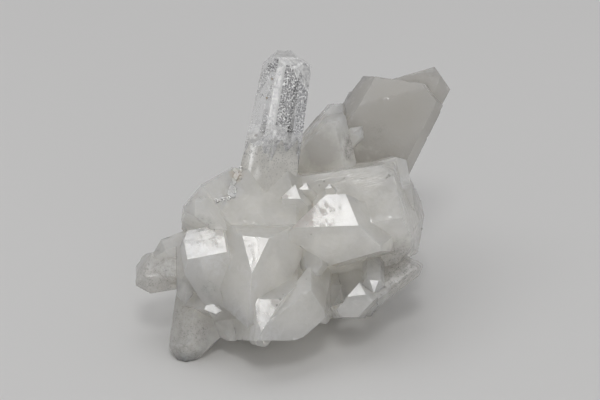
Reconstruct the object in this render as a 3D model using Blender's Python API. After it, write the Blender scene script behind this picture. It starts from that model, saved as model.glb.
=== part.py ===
# Quartz floater: clear and milky crystals grown together, with no scar of attachment.
import math
import random

import bmesh
import bpy
from mathutils import Matrix, Vector

# Driving values
MM = 0.001
EYE_DISTANCE = 450.0
EYE_HEIGHT = math.radians(28.0)
LIT_TILT = math.radians(15.0)
CAP_ANGLE = math.radians(51.79)
SIDE_STEP = math.radians(60.0)
BLANK_SIZE = 240.0
REST_LEVEL = -27.4
SPRAY_SEED = 7
SPRAY_COUNT = 9
SPRAY_REACH = (17.0, 21.0)
SPRAY_WIDTH = (2.2, 3.8)
SPRAY_MIDDLE = (0.0, -7.0, -8.0)
MERGE_DISTANCE = 0.004
CUT_DISTANCE = 0.00001
QUARTZ_COLOUR = (0.62, 0.61, 0.59, 1.0)
QUARTZ_ROUGHNESS = 0.22
QUARTZ_IOR = 1.544

# The cluster is laid out as it is seen from the front, in millimetres: x to the right, y up,
# z towards the eye. It is tilted to stand on its own feet at the end.
LIT_NORMAL = Vector((0.0, math.sin(LIT_TILT), math.cos(LIT_TILT)))
OPEN = -20.0


def clear_scene():
    for thing in list(bpy.data.objects):
        bpy.data.objects.remove(thing, do_unlink=True)


def direction(heading, lean):
    # A unit vector: heading turns from the right, lean brings it towards the eye.
    h = math.radians(heading)
    n = math.radians(lean)
    return Vector((math.cos(h) * math.cos(n), math.sin(h) * math.cos(n), math.sin(n)))


def spot(across, up, near):
    # The point seen at across and up on the plane through the middle, but lying at depth near.
    shrink = 1.0 - near / EYE_DISTANCE
    return Vector((across * shrink, up * shrink, near))


def free_turn(heading, lean, roll):
    # Long axis along the given direction, and a side face that starts facing the eye.
    axis = direction(heading, lean)
    eye = Vector((0.0, 0.0, 1.0))
    front = (eye - axis * axis.dot(eye)).normalized()
    front.rotate(Matrix.Rotation(math.radians(roll), 3, axis))
    return axis, front


def lit_cap_turn(twist):
    # An end face that shares the lit direction; twist is where the axis leans to.
    lean_to = direction(twist, 0.0)
    inward = (lean_to - LIT_NORMAL * lean_to.dot(LIT_NORMAL)).normalized()
    axis = LIT_NORMAL * math.cos(CAP_ANGLE) + inward * math.sin(CAP_ANGLE)
    front = LIT_NORMAL * math.sin(CAP_ANGLE) - inward * math.cos(CAP_ANGLE)
    return axis, front


def lit_side_turn(twist):
    # A side face that shares the lit direction.
    lean_to = direction(twist, 0.0)
    axis = (lean_to - LIT_NORMAL * lean_to.dot(LIT_NORMAL)).normalized()
    return axis, LIT_NORMAL.copy()


def six(value):
    if isinstance(value, (int, float)):
        return [float(value)] * 6
    return list(value)


def faces_of(turn, tip, sides, caps, length, taper, breaks):
    # Every flat face of one crystal as a point and an outward normal.
    axis, front = turn
    across = axis.cross(front)
    faces = []
    for k in range(6):
        out = front * math.cos(SIDE_STEP * k) + across * math.sin(SIDE_STEP * k)
        side = (out * math.cos(taper) + axis * math.sin(taper)).normalized()
        cap = out * math.sin(CAP_ANGLE) + axis * math.cos(CAP_ANGLE)
        faces.append((tip + side * six(sides)[k], side))
        faces.append((tip - cap * six(caps)[k], cap))
    faces.append((tip - axis * length, -axis))
    for heading, lean, x, y, z in breaks:
        faces.append((spot(x, y, z), direction(heading, lean)))
    return faces


def slice_off(bm, point, normal):
    # Takes away what lies beyond a plane and closes the opening with one flat face.
    bmesh.ops.bisect_plane(
        bm,
        geom=bm.verts[:] + bm.edges[:] + bm.faces[:],
        dist=CUT_DISTANCE,
        plane_co=point,
        plane_no=normal,
        clear_outer=True,
    )
    rim = [e for e in bm.edges if e.is_boundary]
    if rim:
        bmesh.ops.holes_fill(bm, edges=rim, sides=len(rim))


def crystal(name, turn, tip, sides, caps=0.0, length=20.0, taper=0.0, breaks=()):
    # A block cut back to flat faces: six sides, six end faces, the root and any broken faces.
    # caps cut the end faces back from the tip, and OPEN leaves an end face out.
    bm = bmesh.new()
    start = spot(*tip)
    place = Matrix.Translation(start)
    bmesh.ops.create_cube(bm, size=BLANK_SIZE, matrix=place)
    angle = math.radians(taper)
    for point, normal in faces_of(turn, start, sides, caps, length, angle, breaks):
        slice_off(bm, point, normal)
    bmesh.ops.recalc_face_normals(bm, faces=bm.faces[:])
    mesh = bpy.data.meshes.new(name)
    bm.to_mesh(mesh)
    bm.free()
    made = bpy.data.objects.new(name, mesh)
    bpy.context.collection.objects.link(made)
    return made


def tower():
    # The clear upright crystal: slightly tapered, with an uneven top and a chipped right shoulder.
    top = (84, 13, -2.6, 30.0, -3)
    left_shoulder = (132, 3, -6.9, 27.9, 3)
    right_shoulder = (56, 6, -0.8, 29.0, 0)
    right_strip = (14, 38, 2.0, 25.3, 4)
    front_nick = (62, 40, -0.4, 26.6, 7)
    cuts = (top, left_shoulder, right_shoulder, right_strip, front_nick)
    return [crystal("tower", free_turn(80, 4, 30), (-1.3, 33.7, 3.1), 4.5, OPEN, 42, 2.4, cuts)]


def blade():
    # The broad flat crystal behind, on the right, and the head that grew over its far corner.
    plate_cuts = (
        (81, 0, 14.5, 24.5, -18),
        (140, 20, 8.5, 21.0, -20),
        (88, 60, 20.5, 21.0, -10),
        (40, 10, 28.0, 20.0, -18),
        (75, -42, 18.0, 23.9, -19),
        (150, -40, 9.5, 21.0, -19),
    )
    head_cuts = (
        (106, 0, 22.5, 25.3, -18),
        (35, 4, 29.4, 23.0, -20),
        (-28, 4, 29.6, 19.6, -20),
        (62, -42, 28.2, 25.2, -21),
        (-20, -42, 29.4, 19.4, -21),
    )
    plate_sides = (4.0, 9.2, 9.2, 4.5, 9.5, 9.5)
    head_sides = (3.6, 5.0, 5.2, 4.5, 10.5, 11.5)
    return [
        crystal("plate", free_turn(63, -8, 6), (25, 34, -16), plate_sides, OPEN, 46, 0, plate_cuts),
        crystal("head", free_turn(62, -4, -14), (29.5, 33, -19.5), head_sides, OPEN, 22, 0, head_cuts),
    ]


def domes():
    # Two stubby crystals one behind the other in the notch, with a small knob beside them.
    back_cuts = (
        (100, 5, 7.5, 19.2, -8),
        (140, 5, 3.9, 16.6, -8),
    )
    front_cuts = (
        (92, 25, 6.0, 16.4, -3),
        (140, 20, 3.0, 14.6, -5),
        (44, 30, 11.9, 14.4, -3),
    )
    back_sides = (3.6, 4.0, 4.2, 4.0, 2.7, 2.5)
    front_sides = (3.4, 10.0, 7.0, 4.0, 4.2, 4.4)
    return [
        crystal("back_dome", free_turn(56, 4, 20), (7.6, 22.5, -8), back_sides, -1, 24, 4, back_cuts),
        crystal("front_dome", free_turn(62, 10, -12), (8.4, 19.8, -4), front_sides, 0, 24, 2, front_cuts),
        crystal("knob", free_turn(50, 20, 10), (12.6, 14.8, -6), 1.5, 0, 8),
    ]


def block():
    # The thick crystal lying to the right, with a second one along its upper edge.
    main_cuts = (
        (17, 14, 22.9, 2.0, -12),
        (-6, 10, 24.3, -6.0, -12),
        (-44, 10, 22.8, -10.8, -8),
        (60, 30, 21.9, 6.4, -2),
    )
    edge_cuts = (
        (74, 0, 18.7, 8.6, -8),
        (106, 0, 9.5, 7.7, -6),
        (10, 0, 21.2, 7.0, -8),
    )
    main_sides = (10.3, 10.3, 10.0, 9.0, 9.0, 10.3)
    edge_sides = (5.6, 5.6, 6.0, 6.0, 6.0, 5.6)
    return [
        crystal("block", free_turn(8, -3, -23), (36, 0.2, -5.6), main_sides, OPEN, 50, 0, main_cuts),
        crystal("edge", free_turn(16, -3, -23), (30, 6.4, -8), edge_sides, OPEN, 30, 0, edge_cuts),
    ]


def front_points():
    # Crystals set parallel to each other on the front of the block: one large and three small.
    wide_cuts = (
        (-121, -1, -3.8, -7.1, 9.9),
        (-75, 10, 10.0, -12.2, 6),
    )
    wide_sides = (5.66, 9.3, 14, 9, 9, 12)
    wide_caps = (0, 0, -2, 2.61, 0, OPEN)
    caps = (0, 0, 0, 0, 0, OPEN)
    first = (1.77, 3, 3, 3, 3, 3)
    second = (0.93, 2, 2, 2, 2, 2)
    third = (0.6, 1.2, 1.2, 1.2, 1.2, 1.2)
    wide_tip = (8.04, 3.8, 8.37)
    return [
        crystal("wide_point", lit_cap_turn(91.8), wide_tip, wide_sides, wide_caps, 20, 0, wide_cuts),
        crystal("first_point", lit_cap_turn(90), (-0.97, 3.1, 8.55), first, caps, 12),
        crystal("second_point", lit_cap_turn(88), (1.3, 3.53, 6.0), second, caps, 12),
        crystal("third_point", lit_cap_turn(92), (6.0, 3.3, 5.4), third, caps, 10),
    ]


def middle():
    # The heart of the cluster, and the two crystals that point down and forward from it.
    core_sides = (6.5, 8.5, 9, 9, 9, 8)
    waist_sides = (7.5, 8.5, 8, 9, 9, 8)
    upper_sides = (4.51, 9, 9, 9, 9, 9)
    lower_sides = (4.0, 8, 8, 8, 8, 8)
    upper_caps = (0, 0, -9, -12, -9, 0)
    lower_caps = (0, 0, -9, -1.8, OPEN, OPEN)
    lower_cuts = (
        (-28, 20, -7.6, -26.2, 15.2),
        (178, 25, -9.0, -20.0, 13.5),
    )
    saddle_sides = (6, 12, 8, 4, 6, 8.3)
    saddle_cuts = (
        (-90, 45, -7.0, -4.9, 10.6),
        (32, 35, -1.4, 2.2, 7.1),
        (-146, 30, -15.6, -3.0, 9.9),
        (120, 0, -16.6, 3.2, 5),
    )
    lower_turn = lit_cap_turn(-90)
    lower_tip = (-7.7, -26.4, 15.2)
    return [
        crystal("core", free_turn(108, 34, 8), (-10.2, -6.4, 6.0), core_sides, -2, 20),
        crystal("waist", free_turn(84, 52, 20), (-3.4, -3.2, 9.8), waist_sides, 1.5, 20),
        crystal("saddle", free_turn(-90, 26, 0), (-7, -11.8, 7.3), saddle_sides, OPEN, 16.7, 0, saddle_cuts),
        crystal("upper_fang", lit_cap_turn(-95), (-9.6, -14.7, 15.2), upper_sides, upper_caps, 26),
        crystal("lower_fang", lower_turn, lower_tip, lower_sides, lower_caps, 22, 0, lower_cuts),
        crystal("heart", free_turn(20, 8, 12), (10, -9, -4), 9.5, 2, 26),
    ]


def left_side():
    # The sloping upper left, and the crystal there that shows one broad side face.
    slope_cuts = (
        (120, 3, -17.3, 4.3, 0),
        (139, 3, -21.2, 1.2, 0),
        (172, 4, -23.7, -4.0, 0),
        (75, 0, -13.5, 6.6, 0),
    )
    brow_cuts = (
        (-93, 20, -20.2, -5.8, 10.6),
        (-126, 20, -16.7, -6.7, 10.8),
        (165, 0, -23.4, -3.0, 9.0),
    )
    window_cuts = ((159, 10, -22.8, -6.9, 10.8),)
    brow_sides = (5.2, 6, 6, 6, 6, 6)
    brow_caps = (0, 0, 0, 1, 0, 0)
    window_sides = (0.0, 3.1, 5, 9, 9, 3.7)
    window_caps = (0, OPEN, OPEN, OPEN, OPEN, OPEN)
    brow_turn = free_turn(104, 42, 8)
    return [
        crystal("slope", free_turn(128, 8, 30), (-22, 6.5, 1.5), 8, OPEN, 26, 0, slope_cuts),
        crystal("brow", brow_turn, (-21, 1.5, 11.8), brow_sides, brow_caps, 16, 0, brow_cuts),
        crystal(
            "window",
            lit_side_turn(-79),
            (-18.9, -11.2, 12),
            window_sides,
            window_caps,
            5.7,
            0,
            window_cuts,
        ),
    ]


def arm():
    # The blunt clear crystal that reaches left, and two smaller ones lying along it.
    end_cuts = (
        (183, 0, -32.9, -15.5, 1),
        (150, 20, -31.3, -12.9, 1),
        (-135, 10, -32.2, -18.8, 1),
    )
    sides = (3.2, 3.4, 3.6, 3.6, 4.6, 4.4)
    ridge_sides = (2.6, 2.8, 3.0, 3.0, 2.8, 2.6)
    wedge_sides = (2.4, 2.6, 2.6, 2.4, 2.6, 2.6)
    return [
        crystal("arm", free_turn(190, 6, 30), (-36.5, -15.2, 1), sides, 0, 20, 0, end_cuts),
        crystal("arm_ridge", free_turn(200, 10, 40), (-31, -12.2, 2), ridge_sides, 0.6, 16),
        crystal("arm_wedge", free_turn(175, 20, 10), (-30, -13.6, 4.5), wedge_sides, 0.3, 14),
    ]


def leg():
    # The crystal that points down on the left and carries the front of the cluster.
    sides = (4.2, 3.7, 4.4, 4.2, 7.5, 4.6)
    glint_cuts = (
        (-63, 15, -16.8, -22.8, 8.2),
        (-112, 15, -18.4, -22.2, 8.2),
    )
    glint_sides = (2.1, 3, 3, 3, 3, 3)
    glint_caps = (0, OPEN, OPEN, 0, 0, 0)
    glint_turn = lit_cap_turn(-18)
    return [
        crystal("leg", free_turn(-98, 5, 30), (-23.2, -34.5, 1), sides, 0, 30),
        crystal("bud", free_turn(-88, 15, 20), (-23, -21.2, 7), 1.55, 0.2, 12),
        crystal("glint", glint_turn, (-15.6, -22.2, 8.2), glint_sides, glint_caps, 8, 0, glint_cuts),
    ]


def underside():
    # Blunt crystals fused along the bottom edge.
    first_cuts = ((-90, 0, -12.0, -28.1, 3),)
    second_cuts = (
        (-101, 0, -10.0, -28.65, 3),
        (-90, 0, -8.0, -29.15, 3),
        (-35, 0, -6.0, -28.4, 3),
    )
    third_cuts = (
        (-90, 0, 0.0, -27.1, 3),
        (-58, 0, 2.8, -26.0, 3),
    )
    fourth_cuts = (
        (-96, 0, 5.0, -24.8, 3),
        (-40, 0, 7.4, -23.8, 3),
    )
    belly_sides = (13.6, 11, 11, 11, 11, 11)
    belly_cuts = (
        (-13, 64, -3.6, -20.8, 13.3),
        (142, 0, -3.9, -20.5, 10),
        (100, 55, 0.0, -15.8, 9.2),
        (-92, 0, -2.0, -27.7, 5),
        (-69, 0, 0.6, -27.1, 5),
        (-50, 0, 2.3, -25.7, 5),
        (-42, 0, 4.0, -24.4, 5),
        (0, 10, 5.6, -20.0, 5),
    )
    return [
        crystal("first_knee", free_turn(-85, 46, 20), (-13.6, -29, 5), 6, 0.3, 22, 0, first_cuts),
        crystal("second_knee", free_turn(-95, 40, 8), (-8, -29, 5), 5, -1, 20, 0, second_cuts),
        crystal("third_knee", free_turn(-75, 32, 5), (0.5, -29, 3), 6.5, 1.5, 24, 0, third_cuts),
        crystal("fourth_knee", free_turn(-72, 36, 20), (5.5, -26.5, 3), 5.2, 1, 20, 0, fourth_cuts),
        crystal("belly", free_turn(-80, 20, 0), (-1, -34, 4), belly_sides, OPEN, 26, 0, belly_cuts),
    ]


def lower_right():
    # The six-sided crystal at the lower right and its small neighbours.
    drum_cuts = (
        (-90, 4, 11.0, -23.5, 6),
        (-45, 10, 14.6, -20.8, 5),
        (-151, 10, 6.2, -20.5, 6),
        (135, 20, 5.7, -17.1, 6),
    )
    spur_cuts = (
        (-15, 10, 24.2, -14.2, -3),
        (62, 10, 23.5, -12.4, -3),
    )
    plug_cuts = ((-87, 5, 3.2, -15.1, 9),)
    drum_sides = (1.57, 5.0, 5.5, 4.0, 5.5, 5.6)
    drum_caps = (0, 0, 0, 0, 0, OPEN)
    spur_sides = (3.4, 1.0, 1.2, 3.6, 4.2, 4.0)
    small_sides = (1.5, 2.0, 2.0, 1.5, 1.8, 1.8)
    plug_sides = (1.8, 2.4, 2.4, 2.0, 2.4, 2.4)
    drum_turn = lit_cap_turn(96.5)
    return [
        crystal("drum", drum_turn, (11.9, -16.5, 8.5), drum_sides, drum_caps, 9, 0, drum_cuts),
        crystal("drum_back", free_turn(104, 50, 10), (8.2, -19.4, 9.4), 5, 1.2, 14, 0, drum_cuts),
        crystal("spur", free_turn(36, -5, 10), (27, -11.5, -3), spur_sides, 0, 15, 0, spur_cuts),
        crystal("small_fang", lit_cap_turn(-92), (14.8, -18.5, 8.8), small_sides, 0, 14),
        crystal("plug", free_turn(-85, 10, 5), (3.2, -16.5, 6.8), plug_sides, 0, 10, 0, plug_cuts),
    ]


def far_side():
    # The back of the cluster, with the two crystals that carry it there.
    fixed = [
        crystal("right_foot", free_turn(-75, -30, 10), (13.5, -24.5, -17), 4.5, 0, 22),
        crystal("back_foot", free_turn(-100, -55, 10), (-4, -16, -34), 5, 0, 26),
        crystal("back_left", free_turn(160, -50, 10), (-14, -2, -22), 7, 0, 26),
        crystal("back_right", free_turn(30, -50, 10), (12, -2, -23), 7, 0, 26),
        crystal("back_top", free_turn(95, -48, 20), (-4, 7, -21), 6.5, 0, 24),
    ]
    return fixed + back_sprays()


def back_sprays():
    # Small crystals scattered over the back, where they can't be seen from the front.
    rng = random.Random(SPRAY_SEED)
    sprays = []
    for k in range(SPRAY_COUNT):
        heading = 360.0 * k / SPRAY_COUNT + rng.uniform(-14, 14)
        lean = rng.uniform(-62, -38)
        reach = rng.uniform(*SPRAY_REACH)
        width = rng.uniform(*SPRAY_WIDTH)
        out = direction(heading, lean)
        x = SPRAY_MIDDLE[0] + out.x * reach
        y = SPRAY_MIDDLE[1] + out.y * reach
        z = SPRAY_MIDDLE[2] + out.z * reach
        turn = free_turn(heading, lean, rng.uniform(0, 60))
        caps = [rng.choice((0.0, 0.3, 0.8)) for _ in range(6)]
        sprays.append(crystal("spray", turn, (x, y, z), width, caps, 1.1 * reach))
    return sprays


def fuse(body, other):
    joint = body.modifiers.new("join", "BOOLEAN")
    joint.operation = "UNION"
    joint.solver = "EXACT"
    joint.object = other
    bpy.context.view_layer.update()
    graph = bpy.context.evaluated_depsgraph_get()
    joined = bpy.data.meshes.new_from_object(body.evaluated_get(graph))
    body.modifiers.clear()
    body.data = joined
    bpy.data.objects.remove(other, do_unlink=True)


def shell_of(start):
    found = {start}
    waiting = [start]
    while waiting:
        for edge in waiting.pop().link_edges:
            fresh = set(edge.verts) - found
            found |= fresh
            waiting.extend(fresh)
    return found


def drop_pockets(bm):
    # Crystals that meet can shut in a tiny empty pocket: only the outer shell is kept.
    waiting = set(bm.verts)
    shells = []
    while waiting:
        shell = shell_of(next(iter(waiting)))
        waiting -= shell
        shells.append(shell)
    outer = max(shells, key=len)
    inner = [v for v in bm.verts if v not in outer]
    bmesh.ops.delete(bm, geom=inner, context="VERTS")


def stand_up(body):
    # Tilts the layout to the standing position, cuts the feet level and sets the origin.
    tilt = Matrix.Rotation(math.radians(90.0) - EYE_HEIGHT, 4, "X")
    bm = bmesh.new()
    bm.from_mesh(body.data)
    bmesh.ops.transform(bm, matrix=tilt, verts=bm.verts[:])
    slice_off(bm, Vector((0.0, 0.0, REST_LEVEL)), Vector((0.0, 0.0, -1.0)))
    bmesh.ops.remove_doubles(bm, verts=bm.verts[:], dist=MERGE_DISTANCE)
    bmesh.ops.dissolve_degenerate(bm, edges=bm.edges[:], dist=MERGE_DISTANCE)
    drop_pockets(bm)
    low = [min(v.co[i] for v in bm.verts) for i in range(3)]
    high = [max(v.co[i] for v in bm.verts) for i in range(3)]
    middle_x = 0.5 * (low[0] + high[0])
    middle_y = 0.5 * (low[1] + high[1])
    settle = Matrix.Scale(MM, 4) @ Matrix.Translation((-middle_x, -middle_y, -low[2]))
    bmesh.ops.transform(bm, matrix=settle, verts=bm.verts[:])
    bmesh.ops.triangulate(bm, faces=bm.faces[:])
    bm.to_mesh(body.data)
    bm.free()


def quartz_material():
    quartz = bpy.data.materials.new("quartz")
    quartz.use_nodes = True
    shader = quartz.node_tree.nodes["Principled BSDF"]
    shader.inputs["Base Color"].default_value = QUARTZ_COLOUR
    shader.inputs["Roughness"].default_value = QUARTZ_ROUGHNESS
    shader.inputs["Metallic"].default_value = 0.0
    shader.inputs["IOR"].default_value = QUARTZ_IOR
    return quartz


def quartz_cluster():
    groups = (
        middle,
        block,
        front_points,
        tower,
        blade,
        domes,
        left_side,
        arm,
        leg,
        underside,
        lower_right,
        far_side,
    )
    crystals = [made for group in groups for made in group()]
    body = crystals[0]
    body.name = "quartz_cluster"
    for other in crystals[1:]:
        fuse(body, other)
    stand_up(body)
    body.data.name = "quartz_cluster"
    body.data.materials.clear()
    body.data.materials.append(quartz_material())


clear_scene()
quartz_cluster()
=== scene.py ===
# Quartz floater: the finish of the clear and milky crystals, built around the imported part.
import math
import random

import bmesh
import bpy
from mathutils import Matrix, Vector, noise
from mathutils.bvhtree import BVHTree
from mathutils.kdtree import KDTree


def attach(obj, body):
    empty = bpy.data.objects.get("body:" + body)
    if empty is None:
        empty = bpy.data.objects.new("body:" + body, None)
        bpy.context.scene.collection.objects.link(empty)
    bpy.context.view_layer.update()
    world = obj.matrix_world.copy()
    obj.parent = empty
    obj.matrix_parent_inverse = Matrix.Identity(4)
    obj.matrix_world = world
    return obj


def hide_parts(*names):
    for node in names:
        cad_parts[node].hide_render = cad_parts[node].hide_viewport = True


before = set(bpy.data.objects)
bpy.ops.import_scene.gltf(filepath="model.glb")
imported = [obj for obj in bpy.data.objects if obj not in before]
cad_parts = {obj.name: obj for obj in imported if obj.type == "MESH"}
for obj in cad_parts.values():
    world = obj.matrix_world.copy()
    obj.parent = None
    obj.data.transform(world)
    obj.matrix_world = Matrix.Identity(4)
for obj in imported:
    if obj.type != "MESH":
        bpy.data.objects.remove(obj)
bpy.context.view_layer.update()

mm = 0.001

# The picture's frame: across and up in millimetres on the plane through its middle, near towards
# the camera. pixel and the picture's middle turn a place in the 600 x 400 picture to millimetres.
view = {
    "distance": 450.0,
    "height": math.radians(28.0),
    "pixel": 0.2,
    "middlePixel": (300.0, 200.0),
    "middle": Vector((0.858, -4.018, 27.4)),
    "litTilt": math.radians(15.0),
    "lens": 135.0,
}
upright = Matrix.Rotation(math.radians(90.0) - view["height"], 3, "X")


def placeOf(across, up, near):
    # The point seen at across and up, at depth near, in the row's frame and in metres.
    shrink = 1.0 - near / view["distance"]
    return (upright @ Vector((across * shrink, up * shrink, near)) + view["middle"]) * mm


def seenAt(px, py, near):
    # The same from a place in the picture.
    across = (px - view["middlePixel"][0]) * view["pixel"]
    up = (view["middlePixel"][1] - py) * view["pixel"]
    return placeOf(across, up, near)


def headingOf(heading, lean):
    # A direction in the row's frame: heading turns from the right, lean brings it to the camera.
    h = math.radians(heading)
    n = math.radians(lean)
    flat = Vector((math.cos(h) * math.cos(n), math.sin(h) * math.cos(n), math.sin(n)))
    return upright @ flat


toEye = headingOf(0.0, 90.0)


def tippedUp(angle):
    # A direction that leans up from the line to the camera by angle.
    return headingOf(90.0, 0.0) * math.sin(angle) + toEye * math.cos(angle)


# All the faces that catch the light point this way.
litNormal = tippedUp(view["litTilt"])


# Mesh helpers

def trim(bm, point, normal, apart=1e-9):
    # Takes away what lies beyond a plane and leaves the opening.
    everything = bm.verts[:] + bm.edges[:] + bm.faces[:]
    bmesh.ops.bisect_plane(bm, geom=everything, dist=apart, plane_co=point, plane_no=normal, clear_outer=True)


def sliceOff(bm, point, normal):
    # Takes away what lies beyond a plane and closes the opening with one flat face.
    trim(bm, point, normal, 1e-8)
    rim = [e for e in bm.edges if e.is_boundary]
    if rim:
        bmesh.ops.holes_fill(bm, edges=rim, sides=len(rim))


def refine(bm, longestAt, passes=7, flatAngle=0.02):
    # Splits long edges until each is shorter than longestAt of its middle, from coarse to fine.
    bmesh.ops.triangulate(bm, faces=bm.faces[:], ngon_method="BEAUTY")
    for k in range(passes):
        ease = 2.0 ** (passes - 1 - k)
        tooLong = []
        for e in bm.edges:
            middle = (e.verts[0].co + e.verts[1].co) * 0.5
            if e.calc_length() > ease * longestAt(middle):
                tooLong.append(e)
        if not tooLong:
            continue
        bmesh.ops.subdivide_edges(bm, edges=tooLong, cuts=1)
        bmesh.ops.triangulate(bm, faces=[f for f in bm.faces if len(f.verts) > 3])
        flat = [e for e in bm.edges if e.is_manifold and e.calc_face_angle(9.0) < flatAngle]
        bmesh.ops.beautify_fill(bm, faces=bm.faces[:], edges=flat, method="ANGLE")


def pieceOf(bm, name, materials, smoothAngle=None):
    # A finished piece from a bmesh, riding on the part.
    mesh = bpy.data.meshes.new(name)
    bm.to_mesh(mesh)
    bm.free()
    piece = bpy.data.objects.new(name, mesh)
    bpy.context.scene.collection.objects.link(piece)
    for material in materials:
        mesh.materials.append(material)
    if smoothAngle is not None:
        mesh.shade_smooth()
        mesh.set_sharp_from_angle(angle=smoothAngle)
        if "lit" in mesh.attributes:
            for polygon, mark in zip(mesh.polygons, mesh.attributes["lit"].data):
                polygon.use_smooth = mark.value < 0.5
    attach(piece, "root")
    return piece


# Node helpers

def newMaterial(name):
    # A material with its node tree, its shader, and the place on the object.
    material = bpy.data.materials.new(name)
    material.use_nodes = True
    tree = material.node_tree
    where = newNode(tree, "ShaderNodeTexCoord", (-1600, 0)).outputs["Object"]
    return material, tree, tree.nodes["Principled BSDF"], where


def newNode(tree, kind, at=(0, 0), **settings):
    node = tree.nodes.new(kind)
    node.location = at
    for key, value in settings.items():
        setattr(node, key, value)
    return node


def mathNode(tree, operation, first, second=None, third=None, clamp=False):
    node = newNode(tree, "ShaderNodeMath", operation=operation, use_clamp=clamp)
    for k, value in enumerate((first, second, third)):
        if value is None:
            continue
        if isinstance(value, (int, float)):
            node.inputs[k].default_value = value
        else:
            tree.links.new(value, node.inputs[k])
    return node.outputs[0]


def mixColour(tree, factor, first, second, blend="MIX"):
    node = newNode(tree, "ShaderNodeMix", data_type="RGBA", blend_type=blend)
    for socket, value in ((node.inputs[0], factor), (node.inputs[6], first), (node.inputs[7], second)):
        if isinstance(value, (int, float, tuple)):
            socket.default_value = value
        else:
            tree.links.new(value, socket)
    return node.outputs[2]


def spread(tree, value, low, high, toLow=0.0, toHigh=1.0):
    node = newNode(tree, "ShaderNodeMapRange")
    node.clamp = True
    tree.links.new(value, node.inputs[0])
    for k, number in enumerate((low, high, toLow, toHigh)):
        node.inputs[k + 1].default_value = number
    return node.outputs[0]


def dotWith(tree, where, direction):
    node = newNode(tree, "ShaderNodeVectorMath", operation="DOT_PRODUCT")
    tree.links.new(where, node.inputs[0])
    node.inputs[1].default_value = direction
    return node.outputs["Value"]


def bumpNode(tree, height, strength, distance, before=None):
    node = newNode(tree, "ShaderNodeBump")
    node.inputs["Strength"].default_value = strength
    node.inputs["Distance"].default_value = distance
    tree.links.new(height, node.inputs["Height"])
    if before is not None:
        tree.links.new(before, node.inputs["Normal"])
    return node.outputs["Normal"]


def mixNumber(tree, factor, first, second):
    node = newNode(tree, "ShaderNodeMix", data_type="FLOAT")
    for socket, value in ((node.inputs[0], factor), (node.inputs[2], first), (node.inputs[3], second)):
        tree.links.new(value, socket)
    return node.outputs[0]


def noiseAt(tree, where, scale, detail=3.0, roughness=0.55, distortion=0.0):
    node = newNode(tree, "ShaderNodeTexNoise")
    tree.links.new(where, node.inputs["Vector"])
    node.inputs["Scale"].default_value = scale
    node.inputs["Detail"].default_value = detail
    node.inputs["Roughness"].default_value = roughness
    node.inputs["Distortion"].default_value = distortion
    return node.outputs[0]


def group(name, inputs, outputs):
    # An empty node group with named inputs and outputs, and its two end nodes.
    tree = bpy.data.node_groups.new(name, "ShaderNodeTree")
    for label, kind in inputs:
        tree.interface.new_socket(name=label, in_out="INPUT", socket_type=kind)
    for label, kind in outputs:
        tree.interface.new_socket(name=label, in_out="OUTPUT", socket_type=kind)
    start = newNode(tree, "NodeGroupInput", (-900, 0))
    end = newNode(tree, "NodeGroupOutput", (900, 0))
    return tree, start, end


def place(tree, pattern, values):
    # Puts a node group in a material and sets its inputs from values or links.
    node = newNode(tree, "ShaderNodeGroup")
    node.node_tree = pattern
    for label, value in values.items():
        if isinstance(value, (int, float, tuple, Vector)):
            node.inputs[label].default_value = value
        else:
            tree.links.new(value, node.inputs[label])
    return node


def zoneGroup():
    # A soft round zone with a ragged border, joined with the zones before it.
    tree, start, end = group(
        "zone",
        (("Where", "NodeSocketVector"), ("Centre", "NodeSocketVector"), ("Radius", "NodeSocketFloat"),
         ("Strength", "NodeSocketFloat"), ("Ragged", "NodeSocketFloat"), ("Before", "NodeSocketFloat")),
        (("Mask", "NodeSocketFloat"),),
    )
    where = start.outputs["Where"]
    reach = newNode(tree, "ShaderNodeVectorMath", operation="DISTANCE")
    tree.links.new(where, reach.inputs[0])
    tree.links.new(start.outputs["Centre"], reach.inputs[1])
    share = mathNode(tree, "DIVIDE", reach.outputs["Value"], start.outputs["Radius"])
    wobble = mathNode(tree, "MULTIPLY_ADD", start.outputs["Ragged"], 1.1, share)
    inside = spread(tree, wobble, 1.75, 1.05)
    strong = mathNode(tree, "MULTIPLY", inside, start.outputs["Strength"])
    joined = mathNode(tree, "MAXIMUM", strong, start.outputs["Before"])
    tree.links.new(joined, end.inputs["Mask"])
    return tree


def speckGroup():
    # Fine pits, dark in the middle with pale rims, as on an etched face of clear quartz.
    tree, start, end = group(
        "specks",
        (("Where", "NodeSocketVector"), ("Scale", "NodeSocketFloat")),
        (("Dark", "NodeSocketFloat"), ("Light", "NodeSocketFloat"), ("Mottle", "NodeSocketFloat")),
    )
    where = start.outputs["Where"]
    pits = newNode(tree, "ShaderNodeTexVoronoi")
    tree.links.new(where, pits.inputs["Vector"])
    tree.links.new(start.outputs["Scale"], pits.inputs["Scale"])
    patchy = spread(tree, noiseAt(tree, where, 1500.0, 2.0, 0.5), 0.36, 0.56)
    dark = spread(tree, pits.outputs["Distance"], 0.5, 0.2)
    light = spread(tree, pits.outputs["Distance"], 0.5, 0.78)
    tree.links.new(mathNode(tree, "MULTIPLY", dark, patchy), end.inputs["Dark"])
    tree.links.new(light, end.inputs["Light"])
    mottle = noiseAt(tree, where, 900.0, 3.0, 0.6)
    tree.links.new(spread(tree, mottle, 0.38, 0.6), end.inputs["Mottle"])
    return tree


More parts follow.
